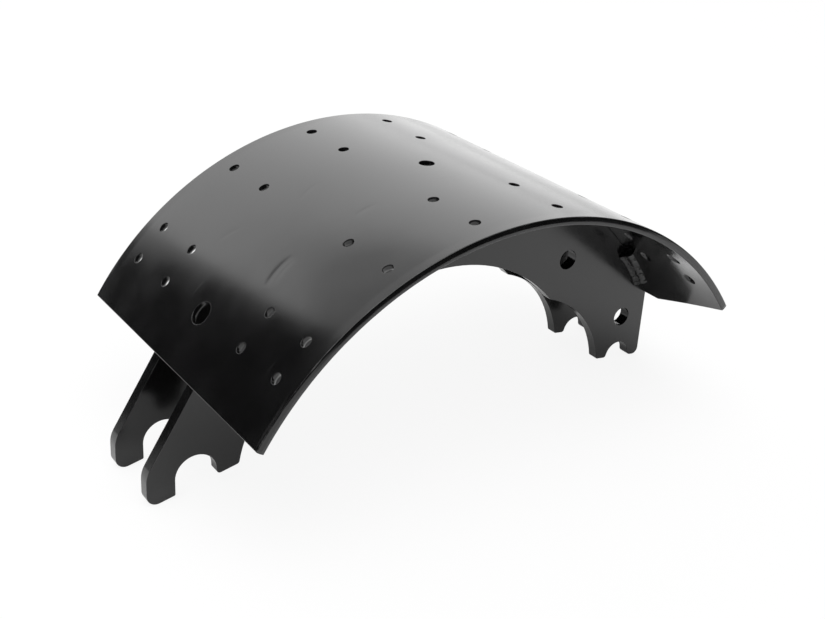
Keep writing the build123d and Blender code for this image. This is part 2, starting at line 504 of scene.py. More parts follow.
class PaintShop:
    """Holds the shader groups and makes each finish's material from them."""

    def __init__(self) -> None:
        """Writes the groups that the materials share."""
        self.skin = self._skin_group()
        self.wear = self._wear_group()
        self.scuffs = self._scuff_group()

    @staticmethod
    def _skin_group() -> NodeTree:
        """Makes the paint's skin: fine waves, and a few nibs of dust under it.

        Returns:
            A group that gives the skin's height and its haze.
        """
        slow_waves, nib_cells, nib_patches, haze_waves = 95.0, 240.0, 60.0, 34.0
        nib_reach, nib_height, few = 0.11, 0.8, (0.71, 0.77)
        writer = TreeWriter.group("paint_skin", NodeKind.SHADER)
        place = writer.socket_in("Place", SocketKind.VECTOR)
        waves = writer.speckle(place, writer.socket_in("Waves", default=900.0), 3.0)
        slow = writer.speckle(place, slow_waves, 1.0)
        cells = writer.add("ShaderNodeTexVoronoi", {"Vector": place, "Scale": nib_cells})
        nib = writer.span(cells.outputs["Distance"], (0.0, nib_reach), (1.0, 0.0))
        chosen = writer.span(writer.speckle(place, nib_patches, 0.0), few)
        nibs = writer.math("MULTIPLY", nib, chosen)
        height = writer.math("MULTIPLY_ADD", nibs, nib_height, waves)
        writer.socket_out("Height", writer.math("ADD", height, slow))
        writer.socket_out("Haze", writer.speckle(place, haze_waves, 4.0))
        return writer.tree

    @staticmethod
    def _wear_group() -> NodeTree:
        """Makes the wear on rims: the mark that the mesh carries, broken up.

        Returns:
            A group that gives how worn a place is, from 0 to 1.
        """
        coarse_waves, fine_waves, fine_share = 70.0, 650.0, 0.45
        amount_share, worn_from = 0.5, (0.86, 1.12)
        writer = TreeWriter.group("rim_wear", NodeKind.SHADER)
        place = writer.socket_in("Place", SocketKind.VECTOR)
        mark = writer.socket_in("Mark")
        amount = writer.socket_in("Amount", default=0.5)
        coarse = writer.speckle(place, coarse_waves, 5.0)
        fine = writer.speckle(place, fine_waves, 3.0)
        patch = writer.math("MULTIPLY_ADD", fine, fine_share, coarse)
        gate = writer.span(writer.math("MULTIPLY_ADD", amount, amount_share, patch), worn_from)
        writer.socket_out("Wear", writer.math("MULTIPLY", gate, mark))
        return writer.tree

    @staticmethod
    def _scuff_group() -> NodeTree:
        """Makes long faint rubs and short hair scratches from handling.

        Returns:
            A group that gives how rubbed and how scratched a place is.
        """
        rub_stretch, rub_from = (22.0, 260.0, 22.0), (0.60, 0.74)
        hair_stretch, hair_from = (45.0, 1500.0, 45.0), (0.70, 0.76)
        hair_turn, patches, patches_from = (0.3, 0.2, 0.9), 13.0, (0.50, 0.64)
        writer = TreeWriter.group("handling_scuffs", NodeKind.SHADER)
        place = writer.socket_in("Place", SocketKind.VECTOR)
        long_way = writer.vector("MULTIPLY", place, rub_stretch)
        rub = writer.span(writer.speckle(long_way, 1.0, 3.0), rub_from)
        where = writer.span(writer.speckle(place, patches, 2.0), patches_from)
        turned = writer.add("ShaderNodeMapping", {"Vector": place, "Rotation": hair_turn})
        hair_place = writer.vector("MULTIPLY", turned.outputs[0], hair_stretch)
        hair = writer.span(writer.speckle(hair_place, 1.0, 1.0), hair_from)
        writer.socket_out("Rub", writer.math("MULTIPLY", rub, where))
        writer.socket_out("Hair", writer.math("MULTIPLY", hair, where))
        return writer.tree

    def paint(self, coat: DipCoat) -> Material:
        """Makes a finish's material.

        Args:
            coat: The finish.

        Returns:
            The material.
        """
        material = bpy.data.materials.new(coat.name)
        writer = TreeWriter.within(material)
        place = writer.add("ShaderNodeTexCoord").outputs["Object"]
        skin = writer.use(self.skin, {"Place": place, "Waves": coat.grain_size})
        rim = writer.add("ShaderNodeAttribute", attribute_name=RIM_MARK).outputs["Fac"]
        torn = writer.add("ShaderNodeAttribute", attribute_name=FRACTURE_MARK).outputs["Fac"]
        wear = writer.use(self.wear, {"Place": place, "Mark": rim, "Amount": coat.rub})["Wear"]
        scuffs = writer.use(self.scuffs, {"Place": place})

        deeper = tuple(DEEP_TONE * part for part in coat.colour)
        tone = writer.span(skin["Haze"], (0.3, 0.7))
        shade = writer.mix(tone, (*deeper, 1.0), (*coat.colour, 1.0))
        grit = writer.speckle(place, GRIT_GRAINS, 4.0)
        thin = writer.math("MULTIPLY", writer.span(grit, (0.35, 0.75), (0.35, 1.0)), torn)
        for mask, tint in ((thin, THIN_TINT), (wear, WEAR_TINT), (scuffs["Rub"], RUB_TINT)):
            amount = writer.math("MULTIPLY", mask, tint)
            shade = writer.mix(amount, shade, (*coat.worn_colour, 1.0))

        levels = (coat.roughness, coat.roughness + coat.haze)
        rough = writer.span(skin["Haze"], (0.25, 0.75), levels)
        for mask, rise in ((scuffs["Rub"], RUB_ROUGH), (torn, TORN_ROUGH), (wear, WEAR_ROUGH)):
            rough = writer.math("MULTIPLY_ADD", mask, rise, rough)

        height = writer.math("MULTIPLY_ADD", scuffs["Hair"], HAIR_HEIGHT, skin["Height"])
        grains = writer.math("MULTIPLY", grit, torn)
        height = writer.math("MULTIPLY_ADD", grains, GRIT_HEIGHT, height)
        inputs = {"Strength": 1.0, "Distance": coat.grain_depth, "Height": height}
        normal = writer.add("ShaderNodeBump", inputs).outputs[0]
        inputs = {"Base Color": shade, "Roughness": rough, "Normal": normal, "IOR": PAINT_IOR}
        surface = writer.add("ShaderNodeBsdfPrincipled", inputs)
        writer.end("ShaderNodeOutputMaterial", surface)
        return material


TABLE_COAT = DipCoat(
    name="table_black_paint",
    colour=(0.0046, 0.0046, 0.0048),
    worn_colour=(0.050, 0.050, 0.051),
    roughness=0.125,
    grain_size=620.0,
    grain_depth=0.0000028,
    rub=0.35,
    haze=0.055,
)
WEB_COAT = DipCoat(
    name="web_black_paint",
    colour=(0.0035, 0.0035, 0.0037),
    worn_colour=(0.055, 0.055, 0.056),
    roughness=0.13,
    grain_size=760.0,
    grain_depth=0.000007,
    rub=0.45,
    haze=0.08,
)
WELD_COAT = DipCoat(
    name="weld_black_paint",
    colour=(0.003, 0.003, 0.003),
    worn_colour=(0.09, 0.09, 0.088),
    roughness=0.16,
    grain_size=1500.0,
    grain_depth=0.000015,
    rub=0.6,
    haze=0.12,
)


# --- Pieces --------------------------------------------------------------------------------


@dataclass(frozen=True)
class ShoePlacement:
    """Where the shoe's own plane lies in the row's frame.

    Attributes:
        anchor_seat: The anchor seat's axis in the shoe's plane, which is the row's origin.
        rest_angle: How far the plane is turned so that the shoe stands on its four tips.
    """

    anchor_seat: tuple[float, float] = (-0.157312, 0.042901)
    rest_angle: float = 1.5436735

    def matrix(self) -> Matrix:
        """Gives the way from the shoe's plane to the row's frame.

        Returns:
            The matrix.
        """
        turn = Matrix.Rotation(radians(self.rest_angle), 4, "Y")
        seat = Vector((self.anchor_seat[0], 0.0, self.anchor_seat[1]))
        return Matrix.Translation(-(turn @ seat)) @ turn


# How far round a dent the table's skin is divided finely, and how often each edge is cut
DENT_MARGIN = 0.004
DENT_CUTS = 3
# How softly a dent fades towards its ends
DENT_FADE = 0.7


@dataclass(frozen=True)
class Dent:
    """A shallow mark that was pressed or drawn in the table when it was rolled.

    Attributes:
        start: One end of it: length along the table, and place across it.
        finish: Its other end.
        bow: How far its middle stands off the straight line.
        width: Its half width on its steep side, the side of the table's far edge.
        spread: Its half width on its other side.
        depth: Its depth.
    """

    start: tuple[float, float]
    finish: tuple[float, float]
    bow: float
    width: float
    spread: float
    depth: float

    def depth_at(self, along: np.ndarray, side: np.ndarray) -> np.ndarray:
        """Gives the dent's depth at places on the flat table.

        Args:
            along: Lengths along the table.
            side: Places across it.

        Returns:
            The depth at each place.
        """
        run = np.array(self.finish) - np.array(self.start)
        length = float(np.hypot(*run))
        way = run / length
        x = (along - self.start[0]) * way[0] + (side - self.start[1]) * way[1]
        y = (side - self.start[1]) * way[0] - (along - self.start[0]) * way[1]
        share = np.clip(x / length, 0.0, 1.0)
        y = y - self.bow * 4.0 * share * (1.0 - share)
        fade = np.sin(pi * share) ** DENT_FADE * ((x > 0) & (x < length))
        width = np.where(y > 0.0, self.width, self.spread)
        return self.depth * fade * np.exp(-((y / width) ** 2))

    def is_near(self, along: float, side: float) -> bool:
        """Tells whether a place on the flat table lies in or close to the dent.

        Args:
            along: Its length along the table.
            side: Its place across it.

        Returns:
            Whether it does.
        """
        low, high = sorted((self.start[0], self.finish[0]))
        left, right = sorted((self.start[1], self.finish[1]))
        room = DENT_MARGIN
        return low - room < along < high + room and left - room < side < right + room


@dataclass(frozen=True)
class SkinWave:
    """A long, low wave that the rolls left in the table's skin.

    Attributes:
        height: Its height.
        along: How fast it runs along the table, in radians per metre.
        side: How fast it runs across the table.
        phase: Where it starts.
        sway: How far its crests sway.
        sway_along: How fast the sway runs along the table.
        sway_side: How fast the sway runs across the table.
        sway_phase: Where the sway starts.
    """

    height: float
    along: float = 0.0
    side: float = 0.0
    phase: float = 0.0
    sway: float = 0.0
    sway_along: float = 0.0
    sway_side: float = 0.0
    sway_phase: float = 0.0

    def height_at(self, along: np.ndarray, side: np.ndarray) -> np.ndarray:
        """Gives the wave's height at places on the flat table.

        Args:
            along: Lengths along the table.
            side: Places across it.

        Returns:
            The height at each place.
        """
        sway = np.sin(along * self.sway_along + side * self.sway_side + self.sway_phase)
        turn = along * self.along + side * self.side + self.phase
        return self.height * np.sin(turn + self.sway * sway)


SKIN_WAVES = (
    SkinWave(0.000030, along=61.0, sway=2.1, sway_side=23.0, sway_phase=0.7),
    SkinWave(0.000018, side=74.0, sway=1.4, sway_along=31.0),
    SkinWave(0.000012, along=143.0, side=-57.0, phase=1.1),
)
# How far the waves' middle lies under the true radius, so that no crest stands over it
SKIN_DROP = 0.00006
# How far from the side edges the waves and dents fade out
SKIN_EDGE = 0.006
# How far a vertex of the plate's faces may lie off their true radius
SKIN_DEPTH = 0.000006
# The step over which the skin's slope is measured
SLOPE_STEP = 0.0004
# How far under the plate's middle a hole starts to widen, as a share of the thickness
BREAKOUT_START = 0.08
# Where the torn part of the plate's own walls starts, as a share of its rows over the middle
TORN_START = -0.08
# Where the leaning part of a side wall starts, as a share of the thickness over the middle
LEAN_START = -0.244
# How much of a wall's height the punch and the shear tear
TORN_HEIGHT = 0.42
# How much of a rim's normal points through the plate: more is a face, less is a wall
RIM_LEAN = (0.42, 0.985)
# The corners that stay sharp to the light
TABLE_CREASE, WEB_CREASE = 50.0, 42.0


def vertex_places(mesh: bpy.types.Mesh) -> np.ndarray:
    """Gives the places of a mesh's vertices.

    Args:
        mesh: The mesh.

    Returns:
        A row of X, Y and Z for each vertex.
    """
    places = np.empty(len(mesh.vertices) * 3)
    mesh.vertices.foreach_get("co", places)
    return places.reshape(-1, 3)


def mark_walls(
    mesh: bpy.types.Mesh, outward: np.ndarray, height: np.ndarray, torn_height: float
) -> None:
    """Marks a plate's rounded rims, and the torn part of its walls, for their finish.

    Args:
        mesh: The plate.
        outward: For each vertex, the direction through the plate's thickness.
        height: For each vertex, its height in that direction.
        torn_height: The height under which the punch tore the walls.
    """
    rims = mesh.attributes.new(RIM_MARK, "FLOAT", "CORNER")
    torn = mesh.attributes.new(FRACTURE_MARK, "FLOAT", "CORNER")
    for face in mesh.polygons:
        lean = abs(face.normal.dot(Vector(outward[face.vertices[0]])))
        middle = sum(height[number] for number in face.vertices) / len(face.vertices)
        is_rim = RIM_LEAN[0] < lean < RIM_LEAN[1]
        is_torn = lean <= RIM_LEAN[0] and middle < torn_height
        for loop in face.loop_indices:
            rims.data[loop].value = float(is_rim)
            torn.data[loop].value = float(is_torn)


@dataclass
class LiningTable:
    """The table: a sheared plate, punched flat and rolled to the drum's curve."""

    outer_radius: float = 0.189
    thickness: float = 0.0045
    width: float = 0.203
    anchor_end_angle: float = 58.5
    cam_end_angle: float = 62.7
    tongue_width: float = 0.074
    corner_setback: float = 0.0255
    rivet_hole: float = 0.0062
    row_pitch: float = 16.56
    rows_per_half: int = 3
    end_row_pitch: float = 7.0
    inner_spacing: float = 0.0924
    outer_spacing: float = 0.167
    centre_hole: float = 0.009
    end_hole: float = 0.0135
    rounding: float = 0.00045
    hole_rounding: float = 0.00028
    breakout: float = 0.0013
    fracture: float = 0.00012
    lean: float = 0.0006
    cells_along: int = 208
    cells_across: int = 107
    hole_sides: int = 44
    dents: tuple[Dent, ...] = ()
    waves: tuple[SkinWave, ...] = SKIN_WAVES

    @property
    def inner_radius(self) -> float:
        """The radius of the table's inner face."""
        return self.outer_radius - self.thickness

    @property
    def neutral_radius(self) -> float:
        """The radius at which rolling leaves lengths as they were."""
        return self.outer_radius - self.thickness / 2

    def hole_centres(self) -> bpy.types.Mesh:
        """Lays out the holes on the flat plate.

        Returns:
            A mesh with a vertex for each hole, which carries the hole's radius.
        """
        rows = [self.row_pitch * (row + 0.5) for row in range(self.rows_per_half)]
        rows.append(rows[-1] + self.end_row_pitch)
        places = []
        for half in (-1, 1):
            for angle in rows:
                along = self.neutral_radius * radians(half * angle)
                for spacing in (self.inner_spacing, self.outer_spacing):
                    for side in (-1, 1):
                        places.append((along, side * spacing / 2, self.rivet_hole / 2))
        places.append((0.0, 0.0, self.centre_hole / 2))
        end_along = -self.neutral_radius * radians(rows[-1])
        places.append((end_along, 0.0, self.end_hole / 2))
        mesh = bpy.data.meshes.new("hole_centres")
        mesh.from_pydata([(x, y, 0.0) for x, y, _ in places], [], [])
        sizes = mesh.attributes.new("hole_radius", "FLOAT", "POINT")
        sizes.data.foreach_set("value", [radius for _, _, radius in places])
        return mesh

    def tree(self, values: dict[str, float | int], material: Material) -> NodeTree:
        """Writes the tree that shears, punches and rolls the plate.

        Args:
            values: The sizes that it takes, by name.
            material: The finish that the plate is given.

        Returns:
            The tree.
        """
        writer = TreeWriter.group("punched_and_rolled_plate", NodeKind.GEOMETRY)
        holes = writer.socket_in("Holes", SocketKind.GEOMETRY)
        sizes = writer.sizes_in(values)
        rim = rim_group()
        plate = self._plate(writer, sizes, rim)
        cutters = self._cutters(writer, holes, sizes, rim)
        inputs = {"Mesh 1": plate, "Mesh 2": cutters}
        node = "GeometryNodeMeshBoolean"
        cut = writer.add(node, inputs, operation="DIFFERENCE", solver="EXACT")
        half = writer.math("MULTIPLY", sizes["Thickness"], 0.5)
        inputs = {"Geometry": cut.outputs[0], "Offset": writer.joined(0.0, 0.0, half)}
        lifted = writer.add("GeometryNodeSetPosition", inputs)
        inputs = {
            "Geometry": lifted.outputs[0],
            "Base Radius": sizes["Inner Radius"],
            "Neutral Height": half,
        }
        return writer.give_out(writer.use(roll_group(), inputs)[0], material)

    @staticmethod
    def _plate(writer: TreeWriter, sizes: dict[str, Socket], rim: NodeTree) -> Socket:
        """Writes the flat plate with its rounded, sheared edges and cut corners.

        Args:
            writer: The tree's writer.
            sizes: The tree's size inputs.
            rim: The group that rounds an edge.

        Returns:
            The plate's geometry, centred on its own middle.
        """
        ragged_waves, ragged_depth = 160.0, 2.0
        least_drag, drag_spread = 0.8, 0.4
        half_length = writer.math("MULTIPLY", sizes["Length"], 0.5)
        half_width = writer.math("MULTIPLY", sizes["Width"], 0.5)
        inputs = {
            "Size": writer.joined(sizes["Length"], sizes["Width"], 1.0),
            "Vertices X": writer.math("ADD", sizes["Cells Along"], 1.0),
            "Vertices Y": writer.math("ADD", sizes["Cells Across"], 1.0),
            "Vertices Z": PLATE_ROWS + 1,
        }
        block = writer.add("GeometryNodeMeshCube", inputs)
        place = writer.place()
        x, y, z = writer.split(place)
        row = writer.math("MULTIPLY", writer.math("ABSOLUTE", z), float(PLATE_ROWS))
        inputs = {"Row": row, "Thickness": sizes["Thickness"], "Rounding": sizes["Rounding"]}
        profile = writer.use(rim, inputs)
        height = writer.math("MULTIPLY", profile["Height"], writer.math("SIGN", z))

        # The shear tears the inner part of the thickness, which stays a little back.
        ragged = writer.speckle(place, ragged_waves, 3.0)
        is_torn = writer.math("LESS_THAN", z, TORN_START)
        torn = writer.math("MULTIPLY", writer.math("MULTIPLY", is_torn, ragged), ragged_depth)
        inset = writer.math("MULTIPLY_ADD", torn, sizes["Fracture"], profile["Inset"])

        # It drags the outer part of both side walls inwards.
        start = writer.math("MULTIPLY", sizes["Thickness"], LEAN_START)
        above = writer.math("MAXIMUM", writer.math("SUBTRACT", height, start), 0.0)
        lean_height = writer.math("MULTIPLY", sizes["Thickness"], 0.5 - LEAN_START)
        drag = writer.math("DIVIDE", above, lean_height)
        uneven = writer.math("MULTIPLY_ADD", ragged, drag_spread, least_drag)
        drag = writer.math("MULTIPLY", drag, uneven)
        side_inset = writer.math("MULTIPLY_ADD", drag, sizes["Lean"], inset)
        x_room = writer.math("SUBTRACT", half_length, inset)
        y_room = writer.math("SUBTRACT", half_width, side_inset)
        x = writer.clamp(x, writer.math("MULTIPLY", x_room, -1.0), x_room)
        y = writer.clamp(y, writer.math("MULTIPLY", y_room, -1.0), y_room)

        # Both corners of the cam end slope back from the tongue.
        off_middle = writer.math("ABSOLUTE", y)
        beyond = writer.math("MULTIPLY_ADD", sizes["Tongue Width"], -0.5, off_middle)
        beyond = writer.math("MAXIMUM", beyond, 0.0)
        setback = writer.math("MULTIPLY", beyond, sizes["Corner Slope"])
        share = writer.math("DIVIDE", writer.math("ADD", x, half_length), sizes["Length"])
        x = writer.math("SUBTRACT", x, writer.math("MULTIPLY", setback, share))
        return writer.moved(block.outputs["Mesh"], writer.joined(x, y, height))

    @staticmethod
    def _cutters(
        writer: TreeWriter, holes: Socket, sizes: dict[str, Socket], rim: NodeTree
    ) -> Socket:
        """Writes the punches: one flared pin at each hole's centre.

        Args:
            writer: The tree's writer.
            holes: The holes' centres, which carry their radii.
            sizes: The tree's size inputs.
            rim: The group that rounds an edge.

        Returns:
            The pins' geometry.
        """
        overreach = 0.001
        inputs = {
            "Vertices": sizes["Hole Sides"],
            "Side Segments": CUTTER_ROWS,
            "Radius": 1.0,
            "Depth": 1.0,
        }
        pin = writer.add("GeometryNodeMeshCylinder", inputs, fill_type="NGON")
        pins, centre = writer.repeat(holes, pin.outputs["Mesh"], "hole_centre")
        radius = writer.noted("hole_radius", "FLOAT")
        x, y, z = writer.split(writer.vector("SUBTRACT", writer.place(), centre))
        row = writer.math("MULTIPLY", writer.math("ABSOLUTE", z), float(CUTTER_ROWS))
        inputs = {
            "Row": row,
            "Thickness": sizes["Thickness"],
            "Rounding": sizes["Hole Rounding"],
        }
        profile = writer.use(rim, inputs)

        # The pin stands out of both faces of the plate.
        over = writer.math("MAXIMUM", writer.math("SUBTRACT", row, RIM_ROWS), 0.0)
        height = writer.math("MULTIPLY_ADD", over, overreach, profile["Height"])
        height = writer.math("MULTIPLY", height, writer.math("SIGN", z))

        # The slug breaks out wider than the punch.
        below = writer.math("DIVIDE", height, writer.math("MULTIPLY", sizes["Thickness"], -1.0))
        opened = writer.math("SUBTRACT", below, BREAKOUT_START)
        opened = writer.math("DIVIDE", opened, 0.5 - BREAKOUT_START)
        cone = writer.math("MULTIPLY", writer.clamp(opened, 0.0, 1.0), sizes["Breakout"])
        reach = writer.math("ADD", writer.math("ADD", radius, profile["Inset"]), cone)
        x = writer.math("MULTIPLY", x, reach)
        y = writer.math("MULTIPLY", y, reach)
        return writer.moved(pins, writer.vector("ADD", centre, writer.joined(x, y, height)))

    def build(self, material: Material, placement: ShoePlacement) -> Piece:
        """Makes the table.

        Args:
            material: Its finish.
            placement: Where the shoe's plane lies.

        Returns:
            The finished piece.
        """
        sweep = radians(self.anchor_end_angle + self.cam_end_angle)
        edge_run = self.width / 2 - self.tongue_width / 2
        turn = radians(self.cam_end_angle - self.anchor_end_angle) / 2
        values = {
            "Length": self.neutral_radius * sweep,
            "Width": self.width,
            "Thickness": self.thickness,
            "Tongue Width": self.tongue_width,
            "Corner Slope": self.corner_setback / edge_run,
            "Rounding": self.rounding,
            "Hole Rounding": self.hole_rounding,
            "Breakout": self.breakout,
            "Fracture": self.fracture,
            "Lean": self.lean,
            "Inner Radius": self.inner_radius,
            "Cells Along": self.cells_along,
            "Cells Across": self.cells_across,
            "Hole Sides": self.hole_sides,
        }
        centres = self.hole_centres()
        centres.transform(Matrix.Translation((-self.neutral_radius * turn, 0.0, 0.0)))
        piece = run_tree(self.tree(values, material), centres, values, "rolled_table")
        piece.data.transform(Matrix.Rotation(turn, 4, "Y"))
        self._divide(piece.data)
        self._dress(piece.data)
        piece.data.transform(placement.matrix())
        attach(piece, BODY)
        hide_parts("lining_table")
        return piece

    def _divide(self, mesh: bpy.types.Mesh) -> None:
        """Divides the outer skin finely round the dents.

        Args:
            mesh: The rolled plate in the shoe's plane.
        """
        work = bmesh.new()
        work.from_mesh(mesh)
        near = []
        for edge in work.edges:
            middle = (edge.verts[0].co + edge.verts[1].co) / 2
            along = atan2(middle.x, middle.z) * self.neutral_radius
            outside = hypot(middle.x, middle.z) > self.outer_radius - SKIN_DEPTH
            if outside and any(dent.is_near(along, middle.y) for dent in self.dents):
                near.append(edge)
        bmesh.ops.subdivide_edges(work, edges=near, cuts=DENT_CUTS, use_grid_fill=True)
        work.to_mesh(mesh)
        work.free()

    def _relief(self, angle: np.ndarray, side: np.ndarray) -> np.ndarray:
        """Gives how far the rolled skin lies off its true radius.

        Args:
            angle: Angles from the centre line, in radians.
            side: Places across the table.

        Returns:
            The height of the skin at each place.
        """
        along = angle * self.neutral_radius
        relief = sum(wave.height_at(along, side) for wave in self.waves)
        for dent in self.dents:
            relief = relief - dent.depth_at(along, side)
        # The side rims of the plate, and so its CAD box, stay where they are.
        edge = np.clip((self.width / 2 - np.abs(side)) / SKIN_EDGE, 0.0, 1.0)
        return (relief - SKIN_DROP) * edge

    def _dress(self, mesh: bpy.types.Mesh) -> None:
        """Marks the rims and torn walls, and gives the skin its relief and true normals.

        Args:
            mesh: The rolled plate in the shoe's plane.
        """
        places = vertex_places(mesh)
        radius = np.hypot(places[:, 0], places[:, 2])
        level = np.zeros(len(places))
        outward = np.stack((places[:, 0], level, places[:, 2]), 1) / radius[:, None]
        height = radius - self.inner_radius
        mark_walls(mesh, outward, height, TORN_HEIGHT * self.thickness)

        on_skin = np.minimum(np.abs(height), np.abs(height - self.thickness)) < SKIN_DEPTH
        angle, side = np.arctan2(places[:, 0], places[:, 2]), places[:, 1]
        step = SLOPE_STEP
        turn = step / self.neutral_radius
        rise_along = self._relief(angle + turn, side) - self._relief(angle - turn, side)
        rise_side = self._relief(angle, side + step) - self._relief(angle, side - step)
        ahead = np.stack((outward[:, 2], level, -outward[:, 0]), 1)
        normals = outward - (rise_along / step / 2)[:, None] * ahead
        normals[:, 1] -= rise_side / step / 2
        normals /= np.linalg.norm(normals, axis=1)[:, None]
        normals[height < self.thickness / 2] *= -1.0
        normals[~on_skin] = 0.0
        places += outward * self._relief(angle, side)[:, None]
        mesh.vertices.foreach_set("co", places.ravel())
        mesh.update()
        mesh.set_sharp_from_angle(angle=radians(TABLE_CREASE))
        mesh.normals_split_custom_set_from_vertices(normals.tolist())


# Vertices closer than this are one
MERGE_GAP = 0.000002
# Faces that turn less than this are one face, and edges that turn more are broken
FLAT_TURN, EDGE_TURN = 0.6, 60.0
# How much of a face's normal points through the plate on its flat faces and on its walls
FLAT_LEAN, WALL_LEAN = 0.999, 0.001
# How close two walls' directions are where the light runs smoothly over both
SAME_WALL = 0.7


@dataclass
class WebPlate:
    """One of the two stamped webs, taken from its solid with its edges broken."""

    node: str
    name: str
    outer_side: float
    growth: float = 0.0014
    edge_break: float = 0.00026
    break_steps: int = 2

    def build(self, material: Material, nodes: dict[str, Piece]) -> Piece:
        """Makes the web.

        Args:
            material: Its finish.
            nodes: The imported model's nodes.

        Returns:
            The finished piece.
        """
        work = bmesh.new()
        work.from_mesh(nodes[self.node].data)
        bmesh.ops.remove_doubles(work, verts=work.verts, dist=MERGE_GAP)
        bmesh.ops.dissolve_limit(
            work, angle_limit=radians(FLAT_TURN), verts=work.verts, edges=work.edges
        )
        bmesh.ops.recalc_face_normals(work, faces=work.faces)
        self._thicken(work)
        bmesh.ops.bevel(
            work,
            geom=[edge for edge in work.edges if edge.calc_face_angle(0.0) > radians(EDGE_TURN)],
            offset=self.edge_break,
            offset_type="OFFSET",
            segments=self.break_steps,
            profile=0.5,
            affect="EDGES",
            clamp_overlap=True,
        )
        mesh = bpy.data.meshes.new(self.name)
        work.to_mesh(mesh)
        work.free()
        self._dress(mesh)
        mesh.materials.append(material)
        piece = new_object(self.name, mesh)
        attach(piece, BODY)
        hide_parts(self.node)
        return piece

    def _thicken(self, work: bmesh.types.BMesh) -> None:
        """Moves the web's inner face inwards, to the thickness that its edges show.

        Args:
            work: The web's mesh.
        """
        inner = min(abs(vertex.co.y) for vertex in work.verts)
        for vertex in work.verts:
            if abs(vertex.co.y) < inner + MERGE_GAP:
                vertex.co.y -= self.outer_side * self.growth

    def _dress(self, mesh: bpy.types.Mesh) -> None:
        """Marks the rims, and keeps the flat faces and the walls true to the light.

        Args:
            mesh: The web's mesh.
        """
        side = np.abs(vertex_places(mesh)[:, 1])
        outward = np.tile((0.0, self.outer_side, 0.0), (len(side), 1))
        mark_walls(mesh, outward, side - side.min(), 0.0)
        for face in mesh.polygons:
            face.use_smooth = True
        mesh.set_sharp_from_angle(angle=radians(WEB_CREASE))
        normals = [Vector(corner.vector) for corner in mesh.corner_normals]
        on_flat: dict[int, Vector] = {}
        on_wall: dict[int, list[Vector]] = {}
        for face in mesh.polygons:
            for number in face.vertices:
                if abs(face.normal.y) > FLAT_LEAN:
                    on_flat[number] = face.normal.copy()
                elif abs(face.normal.y) < WALL_LEAN:
                    on_wall.setdefault(number, []).append(face.normal.copy())
        for loop, corner in enumerate(mesh.loops):
            number = corner.vertex_index
            if number in on_flat:
                normals[loop] = on_flat[number]
            elif number in on_wall:
                near = [wall for wall in on_wall[number] if wall.dot(normals[loop]) > SAME_WALL]
                normals[loop] = sum(near, Vector()).normalized() if near else normals[loop]
        mesh.normals_split_custom_set([tuple(normal) for normal in normals])


# How far the face of a bead reaches from its crown to either toe, on a circle of radius 1
TOE_LEAN = 0.695
# How far across its face a bead's pattern runs on either side of the crown
FACE_REACH = 0.0035
# Waves per metre of the welder's drift, of the ripples' swell and of the lumps
DRIFT_WAVES, SWELL_WAVES, LUMP_WAVES = 260.0, 120.0, 330.0
# How many ripples the pattern shifts by the ripples' bow and by the drift
BOW_SHIFT, DRIFT_SHIFT = 0.7, 1.8
# How steeply a ripple ends, how high the lowest one is, and how much the others vary
RIPPLE_POWER, LEAST_SWELL, SWELL_SPREAD = 2.4, 0.3, 1.4
# Where the trough lies, how far it wanders, where its banks rise, and what they cover
TROUGH_PLACE, TROUGH_WANDER = 0.5, 0.5
TROUGH_BANK, RAIL_COVER = (0.15, 0.60), -0.6
# The height of the lumps, and how far they lie under the face
LUMP_HEIGHT, LUMP_DROP = 0.0012, -0.0008
# From the bead's middle to its end: where it flares, how far, where it stops, and how much
FLARE_RUN, FLARE_HEIGHT = (0.45, 0.90), 0.0005
STOP_RUN, STOP_SHRINK = (0.92, 1.0), 0.45
# Vertices of a bead closer than this are one, and shorter edges are taken out
BEAD_GAP = 0.000001


